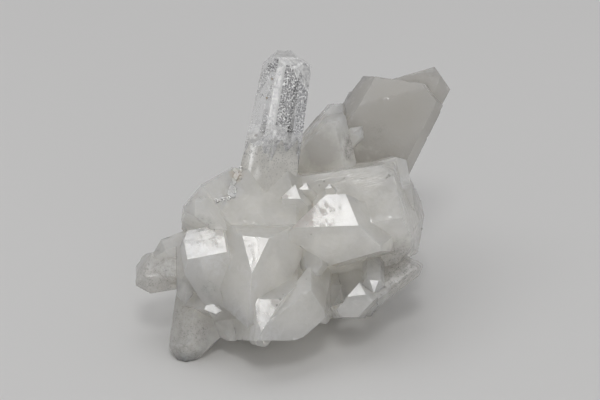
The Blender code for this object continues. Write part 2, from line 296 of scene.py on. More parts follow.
def cloudGroup():
    # The soft unevenness of milky quartz: slow clouds, and thin curved healed cracks.
    tree, start, end = group(
        "clouds",
        (("Where", "NodeSocketVector"),),
        (("Cloud", "NodeSocketFloat"), ("Crack", "NodeSocketFloat"), ("Cotton", "NodeSocketFloat")),
    )
    where = start.outputs["Where"]
    slow = noiseAt(tree, where, 85.0, 3.0, 0.5)
    tree.links.new(spread(tree, slow, 0.3, 0.7), end.inputs["Cloud"])
    sheet = noiseAt(tree, where, 130.0, 2.0, 0.5, 0.6)
    off = mathNode(tree, "ABSOLUTE", mathNode(tree, "SUBTRACT", sheet, 0.5))
    line = spread(tree, off, 0.012, 0.0)
    broken = spread(tree, noiseAt(tree, where, 260.0, 2.0), 0.5, 0.62)
    tree.links.new(mathNode(tree, "MULTIPLY", line, broken), end.inputs["Crack"])
    cotton = noiseAt(tree, where, 900.0, 3.0, 0.65, 0.4)
    tree.links.new(spread(tree, cotton, 0.35, 0.65), end.inputs["Cotton"])
    return tree


def striaGroup():
    # Fine lines that run along one direction: growth lines on a face, or fibres inside.
    tree, start, end = group(
        "striae",
        (("Where", "NodeSocketVector"), ("Along", "NodeSocketVector"), ("Scale", "NodeSocketFloat")),
        (("Line", "NodeSocketFloat"), ("Height", "NodeSocketFloat")),
    )
    dot = newNode(tree, "ShaderNodeVectorMath", operation="DOT_PRODUCT")
    tree.links.new(start.outputs["Where"], dot.inputs[0])
    tree.links.new(start.outputs["Along"], dot.inputs[1])
    pull = newNode(tree, "ShaderNodeVectorMath", operation="SCALE")
    tree.links.new(start.outputs["Along"], pull.inputs[0])
    tree.links.new(mathNode(tree, "MULTIPLY", dot.outputs["Value"], 0.93), pull.inputs["Scale"])
    squeezed = newNode(tree, "ShaderNodeVectorMath", operation="SUBTRACT")
    tree.links.new(start.outputs["Where"], squeezed.inputs[0])
    tree.links.new(pull.outputs[0], squeezed.inputs[1])
    lines = newNode(tree, "ShaderNodeTexNoise")
    lines.inputs["Detail"].default_value = 3.0
    lines.inputs["Roughness"].default_value = 0.6
    tree.links.new(squeezed.outputs[0], lines.inputs["Vector"])
    tree.links.new(start.outputs["Scale"], lines.inputs["Scale"])
    tree.links.new(spread(tree, lines.outputs[0], 0.45, 0.62), end.inputs["Line"])
    tree.links.new(lines.outputs[0], end.inputs["Height"])
    return tree


zone = zoneGroup()
specks = speckGroup()
clouds = cloudGroup()
striae = striaGroup()

# Milky quartz
milky = {
    "colour": (0.885, 0.86, 0.80, 1.0),
    "deep": (0.76, 0.736, 0.68, 1.0),
    "pale": (0.96, 0.945, 0.90, 1.0),
    # white: whiter streaks and lines, partly painted light and highlights
    "white": (0.99, 0.98, 0.95, 1.0),
    # grey: the colour of the painted shade on clear parts and in hollows
    "grey": (0.24, 0.238, 0.235, 1.0),
    "dark": (0.03, 0.03, 0.035, 1.0),
    "rose": (0.74, 0.655, 0.61, 1.0),
    "ochre": (0.70, 0.55, 0.36, 1.0),
    "clearShare": 0.42,
    "scatter": 0.028,
    "ior": 1.544,
    # painted shade where the crystal is clear enough to look dark and in hollows, over real dark specks:
    # picture place, depth, radius, strength
    "darkZones": (
        (157, 284, 4.0, 5.2, 0.8),
        (144, 276, 3.0, 3.4, 0.6),
        (189, 334, 4.0, 4.2, 0.65),
        (186, 353, 4.0, 4.2, 0.7),
        (180, 318, 4.0, 4.0, 0.5),
        (404, 266, 1.0, 5.6, 1.0),
        (397, 282, 0.0, 4.2, 0.7),
        (209, 287, 9.0, 1.8, 0.6),
        (348, 140, -3.2, 1.8, 1.0),
        (349, 147, -3.0, 2.0, 1.0),
        (349, 153, -2.6, 1.6, 1.0),
        (402, 83, -14.0, 1.8, 0.7),
        (413, 86, -14.0, 1.8, 0.8),
        (424, 90, -15.0, 1.6, 0.6),
        (374, 136, -11.0, 3.6, 0.3),
        (200, 222, 12.0, 1.6, 0.6),
        (209, 224, 12.0, 1.4, 0.6),
        (146, 294, 3.0, 2.4, 0.5),
        (250, 340, 9.0, 1.8, 0.4),
    ),
    # painted shade on crystals that look greyer as a whole: picture place, depth, radius, strength
    "shadeZones": (
        (320, 148, -2.0, 5.0, 0.8),
        (150, 280, 3.0, 7.0, 0.55),
        (188, 330, 3.0, 8.0, 0.5),
        (405, 270, 1.0, 7.0, 0.6),
        (318, 296, 8.0, 4.0, 0.4),
    ),
    # shade: the colour of the painted shade
    "shade": (0.52, 0.503, 0.47, 1.0),
    "lineShade": (0.60, 0.585, 0.55, 1.0),
    # painted shade on the crystals that stand behind: their depth, how soft it sets in, and their zone
    "behind": -6.3,
    "behindSoft": 1.2,
    "behindZones": ((400, 112, -12.0, 24.0, 1.0),),
    # whiter ridges with painted highlights, painted glints at the growth steps, painted light on faces that
    # turn down, and real healed edges and feathery streaks: picture place, depth, radius, strength
    "paleAndLitZones": (
        (309, 130, -5.5, 1.0, 0.8),
        (316, 123, -5.0, 1.0, 0.9),
        (322, 118, -3.0, 1.1, 0.9),
        (331, 118, -1.5, 0.9, 0.7),
        (340, 119, -2.8, 0.9, 0.7),
        (353, 127, -6.5, 1.1, 0.9),
        (359, 132, -6.0, 1.3, 1.0),
        (364, 136, -6.0, 1.1, 0.9),
        (234, 179, 6.4, 1.8, 1.0),
        (232, 190, 7.3, 2.2, 1.0),
        (221, 200, 8.0, 2.0, 0.8),
        (146, 265, 4.0, 1.2, 0.7),
        (166, 266, 6.0, 3.0, 0.5),
        (253, 285, 14.0, 1.0, 0.6),
        (335, 268, 6.0, 1.2, 0.6),
        (183, 361, 3.0, 2.0, 0.5),
        (232, 322, 12.0, 4.0, 1.0),
        (262, 335, 12.0, 4.0, 0.8),
        (215, 262, 12.0, 3.4, 0.9),
        (196, 250, 11.0, 2.6, 0.8),
        (263, 341, 9.0, 2.0, 0.5),
    ),
    # growth lines on the upper faces of the block: picture place, depth, radius, strength
    "lineZones": (
        (322, 174, 3.5, 2.6, 0.6),
        (340, 172, 3.0, 3.0, 0.7),
        (358, 170, 3.0, 3.2, 0.8),
        (376, 166, 3.0, 3.2, 0.9),
        (392, 163, 2.0, 3.0, 0.9),
        (368, 182, 4.0, 2.6, 0.4),
    ),
    "steepLineZones": (
        (396, 172, 0.5, 1.1, 1.0),
        (400, 178, -1.0, 1.2, 1.0),
        (403, 185, -1.5, 1.1, 1.0),
        (406, 178, -1.7, 1.0, 0.9),
        (398, 206, 2.0, 2.6, 0.5),
    ),
    # the etched parts of the faces that catch the light: picture place, depth, radius, strength
    "etchedZones": (
        (316, 216, 8.5, 4.4, 1.0),
        (302, 226, 8.5, 3.4, 0.9),
        (285, 197, 8.5, 1.1, 0.8),
        (217, 240, 12.0, 1.6, 0.8),
        (252, 255, 15.0, 3.4, 0.5),
        (256, 320, 15.0, 2.4, 0.6),
    ),
    # parts of the lit faces that are dull and faintly rosy: picture place, depth, radius, strength
    "dullZones": (
        (297, 224, 10.5, 1.9, 0.9),
        (306, 216, 10.0, 1.9, 0.8),
        (311, 208, 9.5, 1.1, 0.7),
        (321, 210, 9.4, 0.9, 0.8),
        (325, 205, 9.2, 0.8, 0.8),
        (322, 226, 10.6, 0.7, 0.7),
        (331, 227, 10.6, 0.6, 0.6),
        (284, 196, 9.2, 0.7, 0.7),
        (221, 232, 11.0, 1.2, 0.7),
        (278, 301, 13.8, 2.0, 0.9),
    ),
    # fine dark ledges across a lit face: picture place, depth, radius, strength
    "creaseZones": (
        (199, 233, 11.0, 2.0, 1.0),
        (210, 231, 11.0, 1.8, 0.9),
        (190, 236, 11.0, 1.4, 0.6),
    ),
    # where a lit face has lines that rise to the right instead: picture place, depth, radius, strength
    "ledgeZones": (
        (205, 232, 12.0, 4.5, 1.0),
    ),
    # faint iron stain: picture place, depth, radius, strength
    "stainZones": (
        (236, 174, 6.2, 1.6, 0.55),
        (386, 137, -12.0, 1.3, 0.5),
        (410, 166, -6.0, 1.4, 0.4),
        (336, 262, 6.0, 1.2, 0.4),
    ),
}


def zonesOf(tree, where, ragged, zones):
    # One mask from several zones, each given by a picture place.
    mask = 0.0
    for px, py, near, radius, strength in zones:
        values = {"Where": where, "Centre": seenAt(px, py, near), "Radius": radius * mm,
                  "Strength": strength, "Ragged": ragged, "Before": mask}
        mask = place(tree, zone, values).outputs["Mask"]
    return mask


# How strongly each layer shows on the milky crystals
layers = {
    "cotton": 0.35,
    "crack": 0.6,
    "levelLine": 0.6,
    # painted shade on clear parts and in hollows
    "paintedShade": 0.5,
    "mottle": -0.5,
    "speck": 0.6,
    "etched": 0.65,
    "dull": 0.4,
    # roughness: of the milky faces, of the lit faces, and what each layer adds to it
    "rough": 0.1,
    "roughCotton": 0.12,
    "smooth": 0.07,
    "smoothLine": 0.13,
    "smoothPatch": 0.07,
    "smoothEtched": 0.13,
    "smoothDull": 0.35,
    "smoothCrease": 0.5,
    # relief: strength and height in metres
    "cottonRelief": (0.3, 0.00004),
    "rowRelief": (0.35, 0.00003),
    "lineRelief": (0.9, 0.00008),
    # growth lines: their heading in the picture and how close they stand
    "levelLines": (15.0, 1500.0),
    "steepLines": (-66.0, 1200.0),
    "litRows": (112.0, 1900.0),
    "litLedges": (20.0, 1900.0),
    "creases": (14.0, 800.0),
    "raggedScale": 420.0,
    "patchScale": 900.0,
    "speckScale": 2900.0,
    "scatterRadius": (1.0, 0.97, 0.92),
}


def milkyMaterial():
    material, tree, shader, where = newMaterial("milkyQuartz")
    lit = newNode(tree, "ShaderNodeAttribute", (-1600, -300), attribute_name="lit").outputs["Fac"]
    ragged = noiseAt(tree, where, layers["raggedScale"], 3.0, 0.6)
    cloud = place(tree, clouds, {"Where": where})

    def times(first, second):
        return mathNode(tree, "MULTIPLY", first, second)

    def zonesIn(name):
        return zonesOf(tree, where, ragged, milky[name])

    def linesAlong(name):
        heading, scale = layers[name]
        return place(tree, striae, {"Where": where, "Along": headingOf(heading, 0.0), "Scale": scale})

    # milk, clouds and cracks
    tone = mixColour(tree, cloud.outputs["Cloud"], milky["deep"], milky["colour"])
    tone = mixColour(tree, times(cloud.outputs["Cotton"], layers["cotton"]), tone, milky["pale"])
    tone = mixColour(tree, times(cloud.outputs["Crack"], layers["crack"]), tone, milky["pale"])
    # painted shade on crystals that look greyer, and on those that stand behind
    tone = mixColour(tree, zonesIn("shadeZones"), tone, milky["shade"])
    backFrom = toEye.dot(placeOf(0.0, 0.0, milky["behind"]))
    behind = spread(tree, dotWith(tree, where, toEye), backFrom, backFrom - milky["behindSoft"] * mm)
    tone = mixColour(tree, times(behind, zonesIn("behindZones")), tone, milky["shade"])
    # growth lines, and whiter ridges and streaks with painted highlights and painted light
    levelLines = times(linesAlong("levelLines").outputs["Line"], zonesIn("lineZones"))
    steepLines = times(linesAlong("steepLines").outputs["Line"], zonesIn("steepLineZones"))
    tone = mixColour(tree, times(levelLines, layers["levelLine"]), tone, milky["lineShade"])
    tone = mixColour(tree, steepLines, tone, milky["white"])
    # painted light and highlights, with real whiter streaks
    tone = mixColour(tree, times(zonesIn("paleAndLitZones"), cloud.outputs["Cotton"]), tone, milky["white"])
    # painted shade on clear parts and in hollows, with real dark specks
    speck = place(tree, specks, {"Where": where, "Scale": layers["speckScale"]})
    uneven = mathNode(tree, "MULTIPLY_ADD", speck.outputs["Mottle"], layers["mottle"], 1.0)
    paintedShade = times(zonesIn("darkZones"), uneven)
    tone = mixColour(tree, times(paintedShade, layers["paintedShade"]), tone, milky["grey"])
    darkSpeck = times(speck.outputs["Dark"], paintedShade)
    tone = mixColour(tree, times(darkSpeck, layers["speck"]), tone, milky["dark"])
    tone = mixColour(tree, zonesIn("stainZones"), tone, milky["ochre"])
    # etched and dull parts of the lit faces
    patchy = spread(tree, noiseAt(tree, where, layers["patchScale"], 4.0, 0.7, 0.8), 0.44, 0.56)
    etched = times(times(zonesIn("etchedZones"), lit), patchy)
    tone = mixColour(tree, times(etched, layers["etched"]), tone, milky["rose"])
    dull = times(zonesIn("dullZones"), lit)
    tone = mixColour(tree, times(dull, layers["dull"]), tone, milky["rose"])
    tree.links.new(tone, shader.inputs["Base Color"])

    # roughness
    rows = linesAlong("litRows")
    ledges = linesAlong("litLedges")
    lineMix = mixNumber(tree, zonesIn("ledgeZones"), rows.outputs["Line"], ledges.outputs["Line"])
    creased = times(linesAlong("creases").outputs["Line"], zonesIn("creaseZones"))
    rough = mathNode(tree, "MULTIPLY_ADD", cloud.outputs["Cotton"], layers["roughCotton"], layers["rough"])
    smooth = mathNode(tree, "MULTIPLY_ADD", times(lineMix, lit), layers["smoothLine"], layers["smooth"])
    for mask, added in ((times(patchy, lit), "smoothPatch"), (etched, "smoothEtched"), (dull, "smoothDull"),
                        (creased, "smoothCrease")):
        smooth = mathNode(tree, "MULTIPLY_ADD", mask, layers[added], smooth)
    tree.links.new(mixNumber(tree, lit, rough, smooth), shader.inputs["Roughness"])

    # clearness and relief
    shader.inputs["IOR"].default_value = milky["ior"]
    shader.inputs["Transmission Weight"].default_value = milky["clearShare"]
    shader.inputs["Subsurface Weight"].default_value = 1.0
    shader.inputs["Subsurface Scale"].default_value = milky["scatter"]
    shader.inputs["Subsurface Radius"].default_value = layers["scatterRadius"]
    relief = bumpNode(tree, cloud.outputs["Cotton"], *layers["cottonRelief"])
    relief = bumpNode(tree, times(rows.outputs["Height"], lit), *layers["rowRelief"], relief)
    allLines = mathNode(tree, "MAXIMUM", levelLines, steepLines)
    relief = bumpNode(tree, allLines, *layers["lineRelief"], relief)
    tree.links.new(relief, shader.inputs["Normal"])
    return material


# The milk that is seen through the clear prism
milkInside = {
    "pale": (0.64, 0.627, 0.595, 1.0),
    "grey": (0.49, 0.48, 0.457, 1.0),
    "plain": (0.53, 0.517, 0.487, 1.0),
    "dusk": (0.34, 0.335, 0.325, 1.0),
    "white": (0.92, 0.915, 0.90, 1.0),
    # back: painted light on the back of the milk
    "back": (0.95, 0.94, 0.91, 1.0),
    "backSoft": 2.5,
    "speck": (0.16, 0.16, 0.165, 1.0),
    "roughness": 0.7,
    "cloudScale": 420.0,
    "fibreScale": 500.0,
    "speckScale": 2600.0,
    # distances below the tip, in metres, between which each layer sets in, and its strength at both
    "fading": (0.020, 0.032, 0.9, 0.05),
    "duskFrom": (0.0215, 0.0275, 0.45, 0.0),
    "evenFrom": (0.024, 0.031),
    # brighter feathery streaks: picture place, depth, radius, strength
    "whiteZones": (
        (256, 146, 6.0, 2.0, 0.9),
        (248, 158, 5.5, 2.2, 0.9),
        (252, 172, 6.0, 1.8, 0.9),
        (243, 168, 4.0, 1.6, 0.8),
        (296, 160, 3.0, 1.4, 0.6),
        (272, 150, 7.0, 1.6, 0.5),
    ),
}


def milkInsideMaterial():
    material, tree, shader, where = newMaterial("milkInside")
    axis = headingOf(prism["heading"], prism["lean"])
    tip = placeOf(*prism["tip"])
    fibre = place(tree, striae, {"Where": where, "Along": axis, "Scale": milkInside["fibreScale"]})
    speck = place(tree, specks, {"Where": where, "Scale": milkInside["speckScale"]})
    slow = spread(tree, noiseAt(tree, where, milkInside["cloudScale"], 3.0, 0.6), 0.35, 0.65)
    tone = mixColour(tree, slow, milkInside["grey"], milkInside["pale"])
    # from the tip down: specks fade out, and the milk turns lighter and even
    below = mathNode(tree, "SUBTRACT", axis.dot(tip), dotWith(tree, where, axis))
    fading = spread(tree, below, *milkInside["fading"])
    tone = mixColour(tree, spread(tree, below, *milkInside["evenFrom"]), tone, milkInside["plain"])
    tone = mixColour(tree, spread(tree, below, *milkInside["duskFrom"]), tone, milkInside["dusk"])
    # from the front to the back: painted light that makes the milk lighter at the back, where the lamps in
    # front leave it dark
    front = (toEye - axis * axis.dot(toEye)).normalized()
    middle = front.dot(tip)
    atBack = spread(tree, dotWith(tree, where, front), middle, middle - milkInside["backSoft"] * mm)
    tone = mixColour(tree, atBack, tone, milkInside["back"])
    ragged = noiseAt(tree, where, layers["raggedScale"], 3.0, 0.6)
    whiter = zonesOf(tree, where, ragged, milkInside["whiteZones"])
    feather = mathNode(tree, "MULTIPLY", fibre.outputs["Line"], whiter)
    tone = mixColour(tree, feather, tone, milkInside["white"])
    darkSpeck = mathNode(tree, "MULTIPLY", speck.outputs["Dark"], fading)
    tone = mixColour(tree, darkSpeck, tone, milkInside["speck"])
    tree.links.new(tone, shader.inputs["Base Color"])
    shader.inputs["Roughness"].default_value = milkInside["roughness"]
    shader.inputs["Specular IOR Level"].default_value = 0.0
    return material


# Clear quartz
clear = {
    "ior": 1.544,
    "colour": (0.98, 0.98, 0.98, 1.0),
    "roughness": (0.01, 0.12),
    "roughScale": 500.0,
    "waveScale": 350.0,
    "relief": (0.2, 0.00005),
    "absorption": (0.93, 0.94, 0.95, 1.0),
    "density": 12.0,
}


def clearMaterial():
    material, tree, shader, where = newMaterial("clearQuartz")
    shader.inputs["Base Color"].default_value = clear["colour"]
    shader.inputs["IOR"].default_value = clear["ior"]
    shader.inputs["Transmission Weight"].default_value = 1.0
    fine = noiseAt(tree, where, clear["roughScale"], 3.0, 0.6)
    tree.links.new(spread(tree, fine, 0.5, 0.8, *clear["roughness"]), shader.inputs["Roughness"])
    relief = bumpNode(tree, noiseAt(tree, where, clear["waveScale"], 3.0, 0.6), *clear["relief"])
    tree.links.new(relief, shader.inputs["Normal"])
    absorb = newNode(tree, "ShaderNodeVolumeAbsorption")
    absorb.inputs["Color"].default_value = clear["absorption"]
    absorb.inputs["Density"].default_value = clear["density"]
    tree.links.new(absorb.outputs[0], tree.nodes["Material Output"].inputs["Volume"])
    return material


# Veils: thin sheets just under the prism's faces, of fine bubbles, healed cracks and etched pits; the pale
# sheets also paint highlights and reflections along the prism's edges and inside it, and the grey between the
# pits paints the dark seen through the clear face
innerSheets = {
    # pale: veils, and painted highlights and reflections
    "pale": (0.95, 0.945, 0.93, 1.0),
    "dim": (0.70, 0.70, 0.71, 1.0),
    # grey: the ground between the pits, painted shade; also mixed into the stains
    "grey": (0.16, 0.16, 0.17, 1.0),
    "pit": (0.02, 0.02, 0.022, 1.0),
    "rim": (0.93, 0.93, 0.92, 1.0),
    "stain": (0.42, 0.27, 0.12, 1.0),
    "cottonScale": 1400.0,
    "thinScale": 700.0,
    "pitScale": 3000.0,
    "grainScale": 5000.0,
    # how deep the last sheet lies under its face, how much deeper each one before it, and their size
    "depth": 0.05,
    "step": 0.010,
    "size": 60.0,
    # side of the prism or its cap, kind, strength, and the outline in picture places
    "sheets": (
        (6, "pale", 0.7, ((262, 72), (262, 46), (312, 46), (312, 72))),
        (7, "pale", 0.8, ((255, 78), (255, 46), (290, 46), (290, 78))),
        (8, "pale", 0.8, ((262, 72), (262, 46), (318, 46), (318, 72))),
        (9, "pale", 0.65, ((285, 100), (285, 46), (320, 46), (320, 100))),
        (10, "pale", 0.85, ((262, 72), (262, 46), (318, 46), (318, 72))),
        (5, "pale", 1.0, ((276, 69), (284.5, 64), (274.2, 124.4), (267, 124.4))),
        (5, "pale", 0.35, ((270, 72), (277, 69), (268, 124.4), (262, 124))),
        (5, "pits", 0.45, ((259, 76), (270, 64), (277, 64), (270, 76), (261, 112), (252, 116))),
        (5, "pits", 0.75, ((268, 63), (278, 63.5), (276, 72), (268, 71))),
        (5, "pale", 0.55, ((254, 92), (259, 74), (262, 70), (250, 124), (246, 128))),
        (5, "pits", 0.15, ((256, 119), (261, 120), (262, 128), (258, 136), (254, 131))),
        (0, "pits", 0.95, ((284.8, 64), (288, 57), (296.5, 62), (297, 84), (290, 128), (274.6, 125))),
        (0, "pits", 0.7, ((296.5, 64), (303, 66), (311, 90), (305, 130), (289.5, 128.5), (296, 86))),
        (0, "pits", 0.3, ((276, 125.5), (290, 127.5), (304, 130), (300, 140), (286, 150), (279, 145))),
        (0, "pits", 0.9, ((286, 58), (290, 57.5), (296.5, 62.5), (293, 66), (286, 66))),
        (0, "pale", 0.9, ((292, 66), (301, 65), (297.5, 81.5))),
        (0, "pale", 0.35, ((300, 84), (306, 68), (307.5, 85))),
        (0, "pale", 0.9,
         ((305, 62), (308, 66), (311.8, 84), (310.4, 93), (309, 92), (309.6, 84), (306.5, 68))),
        (0, "pale", 0.85,
         ((300.4, 101), (301.4, 99.6), (303, 99.8), (303.6, 102), (302.4, 104), (300.8, 103.4))),
        (5, "pale", 1.0,
         ((280, 128.6), (274, 137), (266, 145), (256, 152), (252, 150), (256, 142), (266, 134))),
        (5, "pale", 0.5, ((274, 137), (278, 139), (262, 157), (252, 166), (253, 158), (266, 145))),
        (0, "pale", 0.8, ((294.6, 135.6), (295.6, 135.4), (300.6, 145), (299.6, 145.4))),
        (5, "pale", 0.7, ((247, 130), (250, 131), (241, 166), (238, 165))),
        (5, "pale", 0.75, ((250, 158), (254, 157), (256, 168), (252, 176), (248, 172))),
        (0, "pale", 0.5, ((274, 131), (304, 133), (301, 158), (290, 163), (270, 160))),
        (0, "pits", 0.35, ((276, 128), (304, 131), (300, 168), (286, 174), (270, 165))),
        (5, "pale", 0.4, ((249, 123.5), (274, 125), (268, 160), (242, 164))),
        (5, "pits", 0.25, ((262, 130), (274, 128), (270, 168), (256, 160))),
        (5, "stain", 0.9, ((271.2, 78), (273, 78), (273.2, 80), (271.4, 80))),
        (5, "stain", 0.8, ((266, 97), (267.6, 97), (267.8, 99), (266.2, 99.4))),
        (5, "pits", 1.0, ((262, 94), (264, 94), (263.6, 96.6), (261.6, 96.6))),
        (0, "stain", 0.8, ((279.2, 144), (281, 144), (281, 146.2), (279.4, 146))),
        (5, "stain", 0.35, ((255, 134.4), (258, 134.4), (257.4, 136.4), (254.8, 136))),
    ),
}


def veilBase(name, roughness, specular):
    # What the three veils share, with the strength that each sheet carries.
    material, tree, shader, where = newMaterial(name)
    strength = newNode(tree, "ShaderNodeAttribute", (-1600, -300), attribute_name="strength").outputs["Fac"]
    shader.inputs["Roughness"].default_value = roughness
    shader.inputs["Specular IOR Level"].default_value = specular
    return material, tree, shader, where, strength


# Pale veils, with painted highlights and reflections along the prism's edges.
def paleVeilAndHighlightMaterial():
    material, tree, shader, where, strength = veilBase("paleVeilAndHighlight", 0.5, 0.1)
    cotton = spread(tree, noiseAt(tree, where, innerSheets["cottonScale"], 3.0, 0.65), 0.35, 0.65)
    tree.links.new(mixColour(tree, cotton, innerSheets["dim"], innerSheets["pale"]), shader.inputs["Base Color"])
    thin = spread(tree, noiseAt(tree, where, innerSheets["thinScale"], 3.0, 0.6), 0.3, 0.55, 0.55, 1.0)
    tree.links.new(mathNode(tree, "MULTIPLY", thin, strength), shader.inputs["Alpha"])
    return material


# Etched pits on a grey ground, painted shade for the dark seen through the clear face.
def pitVeilAndShadeMaterial():
    material, tree, shader, where, strength = veilBase("pitVeilAndShade", 0.5, 0.1)
    speck = place(tree, specks, {"Where": where, "Scale": innerSheets["pitScale"]})
    tone = mixColour(tree, speck.outputs["Light"], innerSheets["grey"], innerSheets["rim"])
    tone = mixColour(tree, speck.outputs["Dark"], tone, innerSheets["pit"])
    tree.links.new(tone, shader.inputs["Base Color"])
    most = mathNode(tree, "MAXIMUM", speck.outputs["Dark"], speck.outputs["Light"])
    cover = mathNode(tree, "MULTIPLY_ADD", most, 0.45, 0.5)
    tree.links.new(mathNode(tree, "MULTIPLY", cover, strength), shader.inputs["Alpha"])
    return material


def stainVeilMaterial():
    material, tree, shader, where, strength = veilBase("stainVeil", 0.7, 0.5)
    grain = spread(tree, noiseAt(tree, where, innerSheets["grainScale"], 2.0), 0.4, 0.6)
    tree.links.new(mixColour(tree, grain, innerSheets["stain"], innerSheets["grey"]), shader.inputs["Base Color"])
    tree.links.new(strength, shader.inputs["Alpha"])
    return material


def prismVeilsAndHighlights():
    # Flat sheets parallel to the faces, each cut to its outline by planes through the eye.
    eye = placeOf(0.0, 0.0, view["distance"])
    tip, axis, sides = prismSides(0.0)
    kinds = ("pale", "pits", "stain")
    bm = bmesh.new()
    strengthOf = bm.faces.layers.float.new("strength")
    for k, (side, kind, strength, corners) in enumerate(innerSheets["sheets"]):
        point, out = sides[side]
        depth = innerSheets["depth"] + innerSheets["step"] * (len(innerSheets["sheets"]) - k)
        facing = out.to_track_quat("Z", "Y").to_matrix().to_4x4()
        spot = Matrix.Translation(point - out * depth * mm) @ facing
        part = bmesh.new()
        partStrength = part.faces.layers.float.new("strength")
        bmesh.ops.create_grid(part, x_segments=1, y_segments=1, size=innerSheets["size"] * mm, matrix=spot)
        middle = sum((seenAt(px, py, 0.0) for px, py in corners), Vector()) / len(corners)
        for n, (px, py) in enumerate(corners):
            first = seenAt(px, py, 0.0) - eye
            second = seenAt(*corners[n - 1], 0.0) - eye
            normal = first.cross(second).normalized()
            if normal.dot(middle - eye) > 0.0:
                normal = -normal
            trim(part, eye, normal)
        for n, (otherPoint, otherOut) in enumerate(sides):
            if n != side:
                trim(part, otherPoint - otherOut * innerSheets["depth"] * mm, otherOut)
        for f in part.faces:
            f.material_index = kinds.index(kind)
            f[partStrength] = strength
        mesh = bpy.data.meshes.new("sheet")
        part.to_mesh(mesh)
        part.free()
        bm.from_mesh(mesh)
        bpy.data.meshes.remove(mesh)
    print("innerSheets", len(bm.faces), "sheets")
    return pieceOf(bm, "prism_veils_and_highlights", [paleVeilAndHighlightMaterial(), pitVeilAndShadeMaterial(), stainVeilMaterial()])


# The upright clear prism
prism = {
    "heading": 80.0,
    "lean": 4.0,
    "roll": 30.0,
    "tip": (-1.3, 33.7, 3.1),
    "reach": 4.5,
    "length": 33.6,
    "taper": math.radians(2.4),
    # flat breaks at the top: heading, lean, and a point on it
    "breaks": (
        (84, 13, -2.6, 30.0, -3),
        (132, 3, -6.9, 27.9, 3),
        (56, 6, -0.8, 29.0, 0),
        (14, 38, 2.0, 25.3, 4),
        (62, 40, -0.4, 26.6, 7),
    ),
    # how far the clear part and the room for it stand out of the sides, in millimetres
    "skin": 0.02,
    "roomGap": 0.06,
    # the milk front: its depth below the tip, the flat rim around it, and how high it rises
    "milkDepth": 26.5,
    "milkWall": 0.5,
    "milkRise": 4.2,
}


def prismSides(grow):
    # Each flat face of the prism as a point and an outward direction, grown by grow millimetres.
    axis = headingOf(prism["heading"], prism["lean"])
    eye = headingOf(0.0, 90.0)
    front = (eye - axis * axis.dot(eye)).normalized()
    front.rotate(Matrix.Rotation(math.radians(prism["roll"]), 3, axis))
    across = axis.cross(front)
    tip = placeOf(*prism["tip"])
    sides = []
    for k in range(6):
        turn = math.radians(60.0 * k)
        out = front * math.cos(turn) + across * math.sin(turn)
        out = (out * math.cos(prism["taper"]) + axis * math.sin(prism["taper"])).normalized()
        sides.append((tip + out * (prism["reach"] + grow) * mm, out))
    for heading, lean, x, y, z in prism["breaks"]:
        out = headingOf(heading, lean)
        sides.append((placeOf(x, y, z) + out * grow * mm, out))
    return tip, axis, sides


def prismBlank(grow, length):
    # The prism as a plain closed solid down to length millimetres below its tip.
    tip, axis, sides = prismSides(grow)
    bm = bmesh.new()
    bmesh.ops.create_cube(bm, size=0.24, matrix=Matrix.Translation(tip))
    for point, normal in sides:
        sliceOff(bm, point, normal)
    sliceOff(bm, tip - axis * length * mm, -axis)
    bmesh.ops.recalc_face_normals(bm, faces=bm.faces[:])
    return bm


def clearPrism():
    bm = prismBlank(prism["skin"], prism["length"])
    piece = pieceOf(bm, "clear_prism", [clearMaterial()], smoothAngle=math.radians(1.0))
    piece.visible_shadow = False
    return piece


def prismRoom():
    # What the clear part takes out of the milky body: the prism down to a feathery milk front.
    axis = prismSides(0.0)[1]
    bm = prismBlank(prism["roomGap"], prism["milkDepth"])
    level = min(axis.dot(v.co) for v in bm.verts)
    base = [f for f in bm.faces if f.normal.dot(axis) < -0.99]
    inner = bmesh.ops.inset_region(bm, faces=base, thickness=prism["milkWall"] * mm)
    bmesh.ops.triangulate(bm, faces=base + inner["faces"])
    for k in range(5):
        rim = rimOf(bm, level, axis)
        inside = [e for e in bm.edges if all(f.normal.dot(axis) < -0.99 for f in e.link_faces)]
        inside = [e for e in inside if not all(v in rim for v in e.verts)]
        bmesh.ops.subdivide_edges(bm, edges=inside, cuts=1)
        down = [f for f in bm.faces if f.normal.dot(axis) < -0.99]
        bmesh.ops.triangulate(bm, faces=[f for f in down if len(f.verts) > 3])
    rim = rimOf(bm, level, axis)
    for v in bm.verts:
        if axis.dot(v.co) - level < 1e-6 and v not in rim:
            flat = v.co - axis * axis.dot(v.co)
            away = min((flat - (r.co - axis * axis.dot(r.co))).length for r in rim) / mm
            rise = min(1.0, away * 0.9)
            spike = 0.85 + noise.noise(flat / mm * 1.1) * 0.25 + noise.noise(flat / mm * 0.4) * 0.6
            v.co += axis * prism["milkRise"] * mm * spike * rise
    return bm


def rimOf(bm, level, axis):
    # The corners of the flat base that the sides share.
    low = [v for v in bm.verts if axis.dot(v.co) - level < 1e-6]
    return {v for v in low if any(f.normal.dot(axis) > -0.5 for f in v.link_faces)}


# The milky body
body = {
    "fine": 0.75,
    "crisp": math.radians(11.0),
    "prismGap": 0.04,
    # how near a face's direction is to the lit one: to catch the light, and to keep its edges sharp
    "litLimit": 0.9995,
    "litNear": 0.999,
    "chipReach": 0.8,
    "chipDepth": 0.2,
    "chipFrom": 0.2,
    # where the crystals are worn round: picture place, depth and radius
    "wornAt": ((144, 278, 3, 4.5), (185, 352, 3, 6.5), (412, 270, -1, 5.0)),
    "wornPasses": 2,
}


